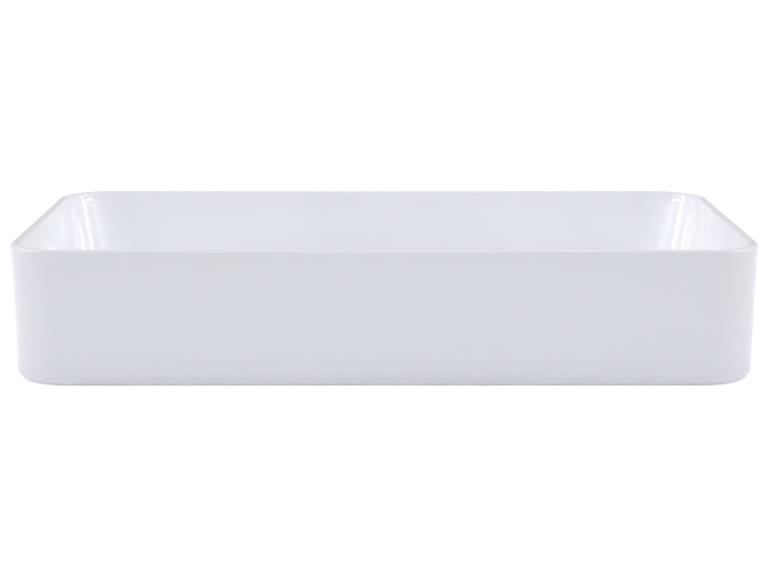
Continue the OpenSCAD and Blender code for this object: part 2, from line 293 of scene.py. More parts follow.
cool_tone = (0.95, 0.965, 1.0)
side_tone = (0.99, 0.965, 1.0)
above = {"elevation": 89.9, "distance": 0.8, "size": (1.4, 1.4), "tone": cool_tone, "mirrored": False}
tall = {"elevation": 24, "distance": 1.7, "size": (0.31, 1.45), "tone": side_tone}
faint = {"elevation": 23.5, "distance": 1.61, "size": (0.5, 0.33), "tone": side_tone}
strip = {"elevation": 18.1, "distance": 1.56, "size": (0.6, 0.085), "tone": side_tone, "lights": False}
softbox("overhead", azimuth=180, brightness=1.55, **above)
softbox("tall_left", azimuth=-87.7, brightness=3.4, **tall)
softbox("tall_right", azimuth=87.7, brightness=2.7, **tall)
softbox("faint_left", azimuth=-119.8, brightness=1.0, **faint)
softbox("faint_right", azimuth=119.8, brightness=1.0, **faint)
softbox("strip_left", azimuth=-109.5, brightness=13.0, **strip)
softbox("strip_right", azimuth=109.5, brightness=13.0, **strip)

# %% [markdown]
# Many finishes share the same small effects: a tone that drifts from place to place, the orange peel
# of a glaze or a moulding, the rings that a lathe leaves, hairline scratches, worn edges, settled dust
# and dried drops of water. Each one is a node group with named sockets, built once and used with its
# own values in every material that needs it. All of them read object coordinates, which are metres in
# the piece's own frame, so a pattern keeps its real size and stays put when a piece moves.

# %% A new effect
def start_effect(name, inputs, output):
    """An empty node group with named number inputs and one named output."""
    group = bpy.data.node_groups.new(name, "ShaderNodeTree")
    for label, value in inputs.items():
        socket = group.interface.new_socket(label, in_out="INPUT", socket_type="NodeSocketFloat")
        socket.default_value = value
    group.interface.new_socket(output, in_out="OUTPUT", socket_type="NodeSocketFloat")
    return group, group.nodes.new("NodeGroupInput").outputs


def end_effect(group, value):
    """Joins the effect's result to its output."""
    ending = group.nodes.new("NodeGroupOutput")
    group.links.new(value, ending.inputs[0])
    print("effect:", group.name, "with", [s.name for s in group.interface.items_tree])
    return group


def apply_effect(tree, group, **inputs):
    """Places an effect in a tree. An input named grain_size feeds the socket Grain Size."""
    named = {name.replace("_", " ").title(): value for name, value in inputs.items()}
    return add(tree, "Group", named, node_tree=group).outputs[0]


def place_in_metres(tree):
    """Where a point lies on its own piece, in metres."""
    return add(tree, "TexCoord").outputs["Object"]


def noise_at(tree, size, detail=2.0, where=None):
    """Noise whose lumps are about size metres across."""
    scale = math_node(tree, "DIVIDE", 1.0, size)
    where = place_in_metres(tree) if where is None else where
    inputs = {"Vector": where, "Scale": scale, "Detail": detail}
    return add(tree, "TexNoise", inputs).outputs["Fac"]


# %% Drifting tone
noise_range = (0.3, 0.7)


def make_drift():
    """A value that drifts between Low and High over patches of the given Size."""
    group, inputs = start_effect("Drifting Tone", {"Size": 0.05, "Low": 0.0, "High": 1.0}, "Value")
    patches = noise_at(group, inputs["Size"], 4.0)
    return end_effect(group, rescale(group, patches, *noise_range, inputs["Low"], inputs["High"]))


drifting_tone = make_drift()

# %% Orange peel
dimple_share = 0.3


def make_peel():
    """A height that swells and dimples like a glaze or a moulded skin."""
    group, inputs = start_effect("Orange Peel", {"Size": 0.004, "Dimples": 0.3}, "Height")
    swell = noise_at(group, inputs["Size"], 1.0)
    small = math_node(group, "MULTIPLY", inputs["Size"], dimple_share)
    dimples = noise_at(group, small, 0.0)
    fine = math_node(group, "MULTIPLY", dimples, inputs["Dimples"])
    return end_effect(group, math_node(group, "ADD", swell, fine))


orange_peel = make_peel()

# %% Turning marks
chatter_size = 4 * mm


def make_turning():
    """A height in fine rings round the Z axis, as a lathe tool leaves them."""
    group, inputs = start_effect("Turning Marks", {"Pitch": 0.0002, "Chatter": 0.4}, "Height")
    where = add(group, "SeparateXYZ", {0: place_in_metres(group)}).outputs
    flat = add(group, "CombineXYZ", {0: where["X"], 1: where["Y"], 2: 0.0}).outputs[0]
    radius = add(group, "VectorMath", {0: flat}, operation="LENGTH").outputs["Value"]
    along = math_node(group, "ADD", radius, where["Z"])
    turns = math_node(group, "DIVIDE", along, inputs["Pitch"])
    rings = math_node(group, "SINE", math_node(group, "MULTIPLY", turns, 2 * math.pi))
    uneven = noise_at(group, chatter_size, 1.0)
    shake = math_node(group, "MULTIPLY", uneven, inputs["Chatter"])
    return end_effect(group, math_node(group, "MULTIPLY", rings, math_node(group, "ADD", 0.5, shake)))


turning_marks = make_turning()

# %% Hairline scratches
wiping_angles = (0.5, 2.1)
scratch_tilt = (0.2, 0.3)
scratch_stretch = (1.0, 28.0, 28.0)
scratch_edges = (0.66, 0.72)


def make_scratches():
    """A mask of short, thin lines in two directions, as wiping leaves them."""
    group, inputs = start_effect("Hairline Scratches", {"Length": 0.02, "Amount": 0.5}, "Mask")
    lines = []
    for angle in wiping_angles:
        turned = {"Vector": place_in_metres(group), "Rotation": (*scratch_tilt, angle)}
        along = add(group, "Mapping", turned | {"Scale": scratch_stretch}).outputs[0]
        streaks = noise_at(group, inputs["Length"], 1.0, along)
        lines.append(rescale(group, streaks, *scratch_edges))
    both = math_node(group, "MAXIMUM", *lines)
    return end_effect(group, math_node(group, "MULTIPLY", both, inputs["Amount"]))


hairline_scratches = make_scratches()

# %% Worn edges
convex_bend = (0.52, 0.62)
wear_patches = (0.35, 0.7)


def make_edge_wear():
    """A mask on convex edges, broken up as handling breaks it."""
    group, inputs = start_effect("Worn Edges", {"Patch Size": 0.004, "Amount": 0.5}, "Mask")
    bend = add(group, "NewGeometry").outputs["Pointiness"]
    edges = rescale(group, bend, *convex_bend)
    patches = rescale(group, noise_at(group, inputs["Patch Size"], 3.0), *wear_patches)
    worn = math_node(group, "MULTIPLY", edges, patches)
    return end_effect(group, math_node(group, "MULTIPLY", worn, inputs["Amount"]))


worn_edges = make_edge_wear()

# %% Settled dust
faces_up = (0.2, 1.0)
dust_grains = (0.4, 0.75)


def make_dust():
    """A mask of fine dust on whatever faces up."""
    group, inputs = start_effect("Settled Dust", {"Grain Size": 0.0015, "Amount": 0.3}, "Mask")
    facing = add(group, "SeparateXYZ", {0: add(group, "NewGeometry").outputs["Normal"]}).outputs["Z"]
    upward = rescale(group, facing, *faces_up)
    grains = rescale(group, noise_at(group, inputs["Grain Size"], 5.0), *dust_grains)
    dust = math_node(group, "MULTIPLY", upward, grains)
    return end_effect(group, math_node(group, "MULTIPLY", dust, inputs["Amount"]))


settled_dust = make_dust()

# %% Dried drops
ring_outside = (0.30, 0.24)
ring_inside = (0.16, 0.24)
splash_sizes = 6.0
splash_edges = (0.5, 0.65)


def make_drops():
    """A mask of thin rings, where drops of hard water have dried."""
    group, inputs = start_effect("Dried Drops", {"Size": 0.006, "Amount": 0.3}, "Mask")
    scale = math_node(group, "DIVIDE", 1.0, inputs["Size"])
    cells = {"Vector": place_in_metres(group), "Scale": scale, "Randomness": 1.0}
    reach = add(group, "TexVoronoi", cells).outputs["Distance"]
    outer = rescale(group, reach, *ring_outside)
    inner = rescale(group, reach, *ring_inside)
    ring = math_node(group, "MULTIPLY", outer, inner)
    splash = noise_at(group, math_node(group, "MULTIPLY", inputs["Size"], splash_sizes))
    seen = math_node(group, "MULTIPLY", ring, rescale(group, splash, *splash_edges))
    return end_effect(group, math_node(group, "MULTIPLY", seen, inputs["Amount"]))


dried_drops = make_drops()

# %% [markdown]
# The glaze is a thin layer of glass over a white body. It is not one colour: it runs off convex edges
# in the kiln, where the greyer body shows through, and it lies thicker and whiter in the bowl and in
# hollows, where it pools. The grey of thin glaze is made dark enough for the rim's crest, where it is
# partly painted shade, standing for the crest's darker look under the lamps. The mesh knows where its
# edges and hollows are, so each of its points carries two numbers, the depth of the glaze, with the
# crest's painted shade in it, and how bare the clay is, and this material reads them.
# Only the foot is bare, wiped clean so that it doesn't stick to the kiln shelf, with an uneven line
# where the glaze starts.

# %% Glazed ceramic
glaze_and_shade_attribute = "glaze_depth_and_shade"
bare_attribute = "bare_clay"
even_depth = 0.5
# Grey where the glaze runs thin; on the rim's crest it is also painted shade, standing for the crest's
# darker look under the lamps.
thin_glaze_and_crest_shade = (0.66, 0.655, 0.68, 1.0)
even_glaze = (0.773, 0.784, 0.83, 1.0)
deep_glaze = (0.87, 0.875, 0.90, 1.0)
clouded_glaze = (0.76, 0.77, 0.805, 1.0)
fired_clay = (0.74, 0.70, 0.64, 1.0)
clay_speck = (0.50, 0.44, 0.37, 1.0)
glaze_index = 1.52
glaze_line = (0.42, 0.58)
speck_edges = (0.62, 0.7)
speck_strength = 0.6
clay_roughness = 0.85


def glaze_colour(tree):
    """The glaze's colour from its depth, with a slow drift."""
    depth = add(tree, "Attribute", attribute_name=glaze_and_shade_attribute).outputs["Fac"]
    # Low depth greys the glaze: on convex edges that is thin glaze, and on the rim's crest it is also
    # painted shade.
    thin = rescale(tree, depth, even_depth, 0.0)
    deep = rescale(tree, depth, even_depth, 1.0)
    colour = mix_colour(tree, thin, even_glaze, thin_glaze_and_crest_shade)
    colour = mix_colour(tree, deep, colour, deep_glaze)
    cloud = apply_effect(tree, drifting_tone, size=90 * mm, low=0.0, high=0.25)
    return mix_colour(tree, cloud, colour, clouded_glaze)


def make_glazed_ceramic():
    """White glaze over fired clay, bare on the foot."""
    material, tree = start_material("glazed ceramic")
    bare = add(tree, "Attribute", attribute_name=bare_attribute).outputs["Fac"]
    ragged = apply_effect(tree, drifting_tone, size=6 * mm, low=-0.25, high=0.25)
    bare = rescale(tree, math_node(tree, "ADD", bare, ragged), *glaze_line)
    specks = rescale(tree, noise_at(tree, 0.9 * mm, 2.0), *speck_edges, 0.0, speck_strength)
    clay = mix_colour(tree, specks, fired_clay, clay_speck)
    colour = mix_colour(tree, bare, glaze_colour(tree), clay)
    gloss = apply_effect(tree, drifting_tone, size=30 * mm, low=0.045, high=0.085)
    drops = apply_effect(tree, dried_drops, size=9 * mm, amount=0.05)
    roughness = math_node(tree, "ADD", gloss, drops)
    roughness = rescale(tree, bare, 0.0, 1.0, roughness, clay_roughness)
    peel = apply_effect(tree, orange_peel, size=9 * mm, dimples=0.15)
    grit = math_node(tree, "MULTIPLY", noise_at(tree, 0.6 * mm, 3.0), bare)
    glassy = relief(tree, peel, 0.014 * mm)
    normal = add(tree, "Bump", {"Height": grit, "Distance": 0.12 * mm, "Normal": glassy}).outputs[0]
    finish_material(tree, base_color=colour, roughness=roughness, normal=normal, ior=glaze_index)
    return material


glazed_ceramic = make_glazed_ceramic()
print("glaze as written:", even_glaze[:3])

# %% [markdown]
# The flange and the cap are brass with a bright nickel and chrome plating. Plating is a
# mirror, so nearly all of its look is what it reflects. What makes it real is what breaks the mirror:
# a slight haze that drifts, polishing lines, hairline scratches and the odd dried drop.

# %% Chrome
chrome_tone = (0.66, 0.67, 0.69, 1.0)
chrome_dull = (0.50, 0.49, 0.47, 1.0)


def make_chrome():
    """Polished plating."""
    material, tree = start_material("chrome plating")
    wear = apply_effect(tree, worn_edges, patch_size=0.003, amount=0.35)
    colour = mix_colour(tree, wear, chrome_tone, chrome_dull)
    haze = apply_effect(tree, drifting_tone, size=20 * mm, low=0.05, high=0.12)
    drops = apply_effect(tree, dried_drops, size=5 * mm, amount=0.22)
    scratches = apply_effect(tree, hairline_scratches, length=12 * mm, amount=0.16)
    marks = math_node(tree, "MAXIMUM", drops, scratches)
    roughness = math_node(tree, "ADD", haze, marks)
    rings = apply_effect(tree, turning_marks, pitch=0.35 * mm, chatter=0.8)
    normal = relief(tree, rings, 0.0006 * mm)
    finish_material(tree, base_color=colour, metallic=1.0, roughness=roughness, normal=normal)
    return material


chrome = make_chrome()
print("chrome as written:", chrome_tone[:3])

# %% [markdown]
# The nut and the spindle are plain turned brass. The tool's rings are easy to see on it, its edges are
# brighter than its faces, and it has gone a little brown and dull where hands have been.

# %% Brass
brass_tone = (0.70, 0.50, 0.22, 1.0)
brass_bright = (0.86, 0.68, 0.36, 1.0)
brass_brown = (0.42, 0.27, 0.12, 1.0)


def make_brass():
    """Turned brass, tarnished in patches."""
    material, tree = start_material("turned brass")
    tarnish = apply_effect(tree, drifting_tone, size=9 * mm, low=0.0, high=0.55)
    colour = mix_colour(tree, tarnish, brass_tone, brass_brown)
    wear = apply_effect(tree, worn_edges, patch_size=0.002, amount=0.9)
    colour = mix_colour(tree, wear, colour, brass_bright)
    scratches = apply_effect(tree, hairline_scratches, length=8 * mm, amount=0.12)
    roughness = math_node(tree, "ADD", rescale(tree, tarnish, 0.0, 0.55, 0.2, 0.42), scratches)
    rings = apply_effect(tree, turning_marks, pitch=0.22 * mm, chatter=0.9)
    normal = relief(tree, rings, 0.006 * mm)
    finish_material(tree, base_color=colour, metallic=1.0, roughness=roughness, normal=normal)
    return material


brass = make_brass()
print("brass as written:", brass_tone[:3])

# %% [markdown]
# Rubber is matt and never evenly dark: the mould leaves a fine grain, dust clings to it, and a pale
# bloom comes to its surface in patches. One recipe serves the grey washer and the black seal, with
# another colour and another shine. The slip washer, the barrel and the carrier are moulded in a white
# plastic, which is smoother, slightly waxy and shows the flow of the moulding as a faint drift.

# %% Rubber and plastic
dust_tone = (0.45, 0.44, 0.42, 1.0)
scuff_tone = (0.52, 0.51, 0.49, 1.0)
shine_drift = 0.15


def make_rubber(name, tone, bloom_tone, bloom, shine):
    """Moulded rubber with a pale bloom."""
    material, tree = start_material(name)
    patches = apply_effect(tree, drifting_tone, size=12 * mm, low=0.0, high=bloom)
    colour = mix_colour(tree, patches, tone, bloom_tone)
    dust = apply_effect(tree, settled_dust, grain_size=0.0012, amount=0.25)
    colour = mix_colour(tree, dust, colour, dust_tone)
    roughness = apply_effect(tree, drifting_tone, size=6 * mm, low=shine, high=shine + shine_drift)
    grain = apply_effect(tree, orange_peel, size=0.9 * mm, dimples=0.6)
    normal = relief(tree, grain, 0.04 * mm)
    finish_material(tree, base_color=colour, roughness=roughness, normal=normal, ior=1.45)
    return material


def make_plastic(name, tone, flow_tone):
    """Moulded plastic with faint flow marks and scuffs."""
    material, tree = start_material(name)
    flow = apply_effect(tree, drifting_tone, size=8 * mm, low=0.0, high=0.5)
    colour = mix_colour(tree, flow, tone, flow_tone)
    scuffs = apply_effect(tree, worn_edges, patch_size=0.002, amount=0.4)
    colour = mix_colour(tree, scuffs, colour, scuff_tone)
    gloss = apply_effect(tree, drifting_tone, size=4 * mm, low=0.32, high=0.46)
    scratches = apply_effect(tree, hairline_scratches, length=6 * mm, amount=0.15)
    roughness = math_node(tree, "ADD", gloss, scratches)
    grain = apply_effect(tree, orange_peel, size=1.2 * mm, dimples=0.4)
    normal = relief(tree, grain, 0.012 * mm)
    finish_material(tree, base_color=colour, roughness=roughness, normal=normal, ior=1.49,
                    subsurface_weight=0.08, subsurface_scale=1 * mm)
    return material


grey_rubber = make_rubber("grey rubber", tone=(0.12, 0.12, 0.127, 1.0),
                          bloom_tone=(0.26, 0.26, 0.26, 1.0), bloom=0.6, shine=0.62)
black_rubber = make_rubber("black rubber", tone=(0.018, 0.018, 0.02, 1.0),
                           bloom_tone=(0.07, 0.07, 0.075, 1.0), bloom=0.5, shine=0.42)
white_plastic = make_plastic("white plastic", tone=(0.78, 0.78, 0.75, 1.0),
                             flow_tone=(0.70, 0.70, 0.66, 1.0))
print("rubbers and plastic:", grey_rubber.name, black_rubber.name, white_plastic.name)

# %% [markdown]
# Spring wire is drawn through a die, so its fine lines run along it, and it comes off the winder with
# a thin straw to blue tint and a trace of oil.

# %% Spring steel
steel_tone = (0.46, 0.46, 0.47, 1.0)
steel_tint = (0.34, 0.31, 0.27, 1.0)


def make_spring_steel():
    """Drawn and tempered wire."""
    material, tree = start_material("spring steel")
    temper = apply_effect(tree, drifting_tone, size=5 * mm, low=0.0, high=0.7)
    colour = mix_colour(tree, temper, steel_tone, steel_tint)
    oil = apply_effect(tree, drifting_tone, size=2 * mm, low=0.2, high=0.38)
    scratches = apply_effect(tree, hairline_scratches, length=4 * mm, amount=0.2)
    roughness = math_node(tree, "ADD", oil, scratches)
    lines = apply_effect(tree, turning_marks, pitch=0.12 * mm, chatter=1.0)
    normal = relief(tree, lines, 0.002 * mm)
    finish_material(tree, base_color=colour, metallic=1.0, roughness=roughness, normal=normal)
    return material


spring_steel = make_spring_steel()
print("steel as written:", steel_tone[:3])

# %% [markdown]
# Nearly every piece is one section carried round a path: round the drain's axis for the turned and
# moulded pieces, round a rectangle with round corners for the basin. So one helper makes the skin
# between a list of rings, each a list of points, and closes it from the last ring to the first.

# %% Skin between rings
merge_distance = 0.001 * mm


def skin(name, rings, material, sharp_angle=None, numbers=None, joined=True):
    """A closed skin through the rings. Numbers gives named values, one for each ring.

    A joined skin goes back from its last ring to its first. Any other ends in two flat caps, or in
    two points if its first and last rings have no size.
    """
    count = len(rings[0])
    points = [point for ring in rings for point in ring]
    faces = []
    for at in range(len(rings) if joined else len(rings) - 1):
        here = at * count
        after = (at + 1) % len(rings) * count
        for step in range(count):
            near = (step + 1) % count
            faces.append((here + step, here + near, after + near, after + step))
    if not joined and Vector(rings[0][0]) != Vector(rings[0][1]):
        last = len(points) - count
        faces += [tuple(range(count - 1, -1, -1)), tuple(range(last, last + count))]
    mesh = bpy.data.meshes.new(name)
    mesh.from_pydata(points, [], faces)
    for label, values in (numbers or {}).items():
        attribute = mesh.attributes.new(label, "FLOAT", "POINT")
        attribute.data.foreach_set("value", [value for value in values for _ in range(count)])
    return settle(name, mesh, material, sharp_angle)


def settle(name, mesh, material, sharp_angle=None):
    """Turns a mesh's faces outwards, smooths its shading and puts it in the scene."""
    builder = bmesh.new()
    builder.from_mesh(mesh)
    bmesh.ops.remove_doubles(builder, verts=builder.verts, dist=merge_distance)
    bmesh.ops.recalc_face_normals(builder, faces=builder.faces)
    builder.to_mesh(mesh)
    builder.free()
    mesh.shade_smooth()
    if sharp_angle is not None:
        mesh.set_sharp_from_angle(angle=math.radians(sharp_angle))
    mesh.materials.append(material)
    piece = bpy.data.objects.new(name, mesh)
    bpy.context.scene.collection.objects.link(piece)
    print(name, "faces:", len(mesh.polygons))
    return piece


# %% [markdown]
# A section is drawn as a walk: points, and arcs by their centre, radius and first and last angle. The
# lists that come out are pairs, the distance outwards and the height.

# %% Arcs and straights
def arc(centre, radius, first, last, steps):
    """Points on an arc, with angles in degrees from the outward direction."""
    points = []
    for step in range(steps + 1):
        turn = math.radians(first + (last - first) * step / steps)
        points.append((centre[0] + radius * math.cos(turn), centre[1] + radius * math.sin(turn)))
    return points


def straight(start, end, steps):
    """The points between two ends, without the ends."""
    shares = [step / steps for step in range(1, steps)]
    return [
        (start[0] + (end[0] - start[0]) * share, start[1] + (end[1] - start[1]) * share)
        for share in shares
    ]


def rounded(corner, before, after, radius, steps=5):
    """A small arc in place of a corner between two other points of a section."""
    corner, before, after = (Vector(point) for point in (corner, before, after))
    to_before = (before - corner).normalized()
    to_after = (after - corner).normalized()
    half = to_before.angle(to_after) / 2
    middle = corner + (to_before + to_after).normalized() * radius / math.sin(half)
    start = corner + to_before * radius / math.tan(half)
    end = corner + to_after * radius / math.tan(half)
    points = []
    for step in range(steps + 1):
        chord = start.lerp(end, step / steps) - middle
        points.append(tuple(middle + chord.normalized() * radius))
    return points


def soften(outline, radii, steps=5):
    """A closed outline with each corner rounded by its own radius, or left sharp at 0."""
    walk = []
    for at, corner in enumerate(outline):
        before = outline[at - 1]
        after = outline[(at + 1) % len(outline)]
        walk += rounded(corner, before, after, radii[at], steps) if radii[at] else [corner]
    return walk


# %% [markdown]
# The basin's wall is one section all the way round: a thin lip, rounded over, on walls that lean so
# that the casting leaves its mould, a small radius into the floor, a smaller one into the foot, and
# a hollow under the floor. The sizes that belong to the section are named here. The outer size comes
# from the frame, and the levels of the drain come from the pieces that sit in it.

# %% Sizes of the basin
corner_radius = 48 * mm
rim_radius = 3.5 * mm
outer_lean = 1.5
inner_lean = 6.5
base_edge_radius = 8.5 * mm
bowl_radius = 16 * mm
floor_edge_level = 43 * mm
foot_width = 9 * mm
foot_round = 1.2 * mm
hollow_roof = 30 * mm
hollow_lean = 5.0
hollow_radius = 12 * mm
pad_radius = 44 * mm
pad_slope = 4 * mm
drain_radius = 22.5 * mm
seat_radius = 35 * mm
collar_height = 2 * mm

seat_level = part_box("flange_gasket")[0].z
drain_floor_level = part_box("waste_body")[1].z
pad_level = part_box("lower_washer")[1].z - collar_height
basin_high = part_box("ceramic_basin")[1]
basin_height = basin_high.z
half_core_x = basin_high.x - corner_radius
half_core_y = basin_high.y - corner_radius
print("levels in mm:", [round(level / mm, 2) for level in (pad_level, seat_level, drain_floor_level)])


def lean_at(point, angle, level):
    """How far out a wall is at a level, going from a point at an angle from upright."""
    return point[0] - (point[1] - level) * math.tan(math.radians(angle))


# %% Section of the wall
rim_middle = (corner_radius - rim_radius, basin_height - rim_radius)
outer_top = arc(rim_middle, rim_radius, -outer_lean, 0, 1)[0]
inner_top = arc(rim_middle, rim_radius, 180 - inner_lean, 0, 1)[0]
base_out = lean_at(outer_top, outer_lean, base_edge_radius)
base_middle = (base_out - base_edge_radius / math.cos(math.radians(outer_lean)), base_edge_radius)
bowl_level = floor_edge_level + bowl_radius
bowl_out = lean_at(inner_top, inner_lean, bowl_level)
bowl_middle_x = bowl_out - bowl_radius / math.cos(math.radians(inner_lean))
foot_inner = base_middle[0] - foot_width
hollow_level = hollow_roof - hollow_radius
hollow_out = lean_at((foot_inner, 0), -hollow_lean, hollow_level)
hollow_middle_x = hollow_out - hollow_radius / math.cos(math.radians(hollow_lean))

bowl_steps = 24
rim_steps = 20
base_steps = 12
hollow_side = (foot_inner - 1 * mm, 11 * mm)
bowl_walk = arc((bowl_middle_x, bowl_level), bowl_radius, -90, -inner_lean, bowl_steps)
rim_walk = arc(rim_middle, rim_radius, 180 - inner_lean, -outer_lean, rim_steps)
base_walk = arc(base_middle, base_edge_radius, -outer_lean, -90, base_steps)
foot_corner = rounded((foot_inner, 0), base_walk[-1], hollow_side, foot_round)
hollow_walk = arc((hollow_middle_x, hollow_level), hollow_radius, hollow_lean, 90, base_steps)
print("points on the wall's section:", len(bowl_walk + rim_walk + base_walk + hollow_walk))

# %% [markdown]
# A ring of the basin runs round a rectangle with round corners. Every ring has the same number of
# points, so that the skin between two of them is all four-sided faces: the same steps on each corner,
# and closer steps on the long sides than they need, because a fired wall is never quite straight.
# Rings near the drain are circles, and the floor's rings change slowly from the one to the other. In
# the bowl the corners get rounder with depth, which is why the lamps' images in them lean so much.

# %% Rings of the basin
corner_steps = 26
long_steps = 44
short_steps = 26
fan_out = 38 * mm
growth_top = basin_height - rim_radius
growth_ease = 6 * mm
growth_rate = 0.45
growth_most = 24 * mm


def stations(drawn=0.0):
    """For each point of a ring, the point of the inner rectangle that it goes out from, and the way out.

    The rectangle joins the centres of the four corners. Drawn is how far they are moved inwards.
    """
    found = []
    half_x = half_core_x - drawn
    half_y = half_core_y - drawn
    for quarter in range(4):
        turned = quarter * math.pi / 2
        along_y = quarter % 2 == 0
        signs = [(1, 1), (-1, 1), (-1, -1), (1, -1)]
        here = Vector((signs[quarter][0] * half_x, signs[quarter][1] * half_y))
        coming = signs[(quarter + 1) % 4]
        after = Vector((coming[0] * half_x, coming[1] * half_y))
        for step in range(corner_steps + 1):
            angle = turned + math.pi / 2 * step / corner_steps
            found.append((here, Vector((math.cos(angle), math.sin(angle)))))
        steps = long_steps if along_y else short_steps
        out = Vector((math.cos(turned + math.pi / 2), math.sin(turned + math.pi / 2)))
        for step in range(1, steps):
            found.append((here.lerp(after, step / steps), out))
    return found


round_basin = stations()
ways_out = [(middle + out * fan_out).normalized() for middle, out in round_basin]


def wall_ring(out, level):
    """The ring at a distance out from the inner rectangle."""
    flat = [middle + way * out for middle, way in round_basin]
    return [(point.x, point.y, level) for point in flat]


def corner_growth(level):
    """How much larger the bowl's corner radius is at a level than the walls' lean makes it."""
    depth = max(0.0, growth_top - level)
    eased = depth ** 2 / (2 * growth_ease) if depth < growth_ease else depth - growth_ease / 2
    return min(growth_most, eased * growth_rate)


def bowl_ring(out, level):
    """A ring of the bowl, whose corners get rounder with depth."""
    drawn = corner_growth(level)
    flat = [middle + way * (out + drawn) for middle, way in stations(drawn)]
    return [(point.x, point.y, level) for point in flat]


def drain_ring(radius, level):
    """The ring at a radius from the drain's axis."""
    return [(way.x * radius, way.y * radius, level) for way in ways_out]


def ring_between(first, second, share, level):
    """A ring part of the way from one ring to another, at its own level."""
    mixed = [Vector(a).lerp(Vector(b), share) for a, b in zip(first, second)]
    return [(point.x, point.y, level) for point in mixed]


print("points on a ring:", len(round_basin))

# %% [markdown]
# Now the section becomes rings, starting in the drain and going up through the floor, over the rim and
# back underneath. Each ring is kept with the depth of its glaze, from 0 on a sharp edge to 1 in a
# hollow, and with how bare it is. The floor leaves the bowl's radius level and gets steeper towards
# the drain, so that no crease shows where they meet.

# %% Rings from the drain to the rim
floor_steps = 26
floor_curve = 1.6
bowl_wall_steps = 16
bowl_glaze = 0.9
edge_glaze = 0.3
hollow_glaze = 0.8
mouth_glaze = 0.35
mouth_edge = 0.8 * mm
seat_edge = 1.5 * mm
seat_corner = 1 * mm
basin_rings = []


def keep(ring, glaze=even_depth, bare=0.0):
    """Keeps one ring of the basin with its glaze."""
    basin_rings.append((ring, glaze, bare))


def keep_walk(make_ring, walk, glaze=even_depth, bare=0.0):
    """Keeps a ring of the basin for each point of a walk."""
    for out, level in walk:
        keep(make_ring(out, level), glaze, bare)


seat_outline = [(drain_radius, seat_level), (seat_radius, seat_level), (seat_radius, drain_floor_level)]
seat_ends = ((drain_radius + seat_edge, seat_level), (seat_radius - seat_edge, seat_level))
corner_middle = (seat_radius - seat_corner, seat_level + seat_corner)
edge_middle = (seat_radius + seat_edge, drain_floor_level - seat_edge)
keep_walk(drain_ring, soften(seat_outline, [mouth_edge, 0, 0])[:-2], mouth_glaze)
keep_walk(drain_ring, straight(*seat_ends, 4))
keep_walk(drain_ring, arc(corner_middle, seat_corner, -90, 0, 5), bowl_glaze)
keep_walk(drain_ring, arc(edge_middle, seat_edge, 180, 92, 7), edge_glaze)

near_drain = drain_ring(seat_radius + 2 * seat_edge, drain_floor_level)
near_wall = bowl_ring(bowl_middle_x, floor_edge_level)
floor_rise = floor_edge_level - drain_floor_level
for step in range(floor_steps):
    share = step / floor_steps
    level = drain_floor_level + floor_rise * (1 - (1 - share) ** floor_curve)
    keep(ring_between(near_drain, near_wall, share, level), bowl_glaze)
keep_walk(bowl_ring, bowl_walk, 1.0)
keep_walk(bowl_ring, straight(bowl_walk[-1], rim_walk[0], bowl_wall_steps), bowl_glaze)
print("rings up to the rim:", len(basin_rings))

# %% [markdown]
# The glaze runs off the rim's crest while it melts, and further on the bowl's side, where it flows
# down into the basin. The crest's glaze depth falls to nothing, so the fine grey line along the top
# of the back wall is partly thin glaze and partly painted shade, standing for the crest's darker look
# under the lamps. Below the outside wall the glaze thins towards the foot, and the foot itself is
# wiped bare.

# %% Rings from the rim to the drain
# How far the crest's grey reaches on the bowl's side and on the outer side: thin glaze and painted shade.
inner_crest_fade = 0.5
outer_crest_fade = 3
outer_wall_steps = 18
base_glaze = 0.4
bare_at_base = 0.6
bare_inside_foot = 0.8
bare_fade = 0.4
roof_steps = 16
# Painted shade on the rim's crest: its glaze depth goes to nothing there, beyond the thinning of the glaze.
for at, (out, level) in enumerate(rim_walk):
    share = at / (len(rim_walk) - 1)
    crest_fade = inner_crest_fade if share < 0.5 else outer_crest_fade
    crest_glaze_and_shade = 1 - math.sin(math.pi * share) ** crest_fade
    keep(wall_ring(out, level), (bowl_glaze + (even_depth - bowl_glaze) * share) * crest_glaze_and_shade)
keep_walk(wall_ring, straight(rim_walk[-1], base_walk[0], outer_wall_steps))
for at, (out, level) in enumerate(base_walk):
    keep(wall_ring(out, level), base_glaze, at / (len(base_walk) - 1) * bare_at_base)
keep_walk(wall_ring, straight(base_walk[-1], foot_corner[0], 5), edge_glaze, 1.0)
keep_walk(wall_ring, foot_corner, edge_glaze, 1.0)
for at, (out, level) in enumerate(straight(foot_corner[-1], hollow_walk[0], 8)):
    keep(wall_ring(out, level), even_depth, max(0.0, bare_inside_foot - bare_fade * at))
keep_walk(wall_ring, hollow_walk, hollow_glaze)

roof_edge = wall_ring(hollow_middle_x, hollow_roof)
pad_foot = drain_ring(pad_radius + pad_slope, hollow_roof)
for step in range(1, roof_steps):
    keep(ring_between(roof_edge, pad_foot, step / roof_steps, hollow_roof))

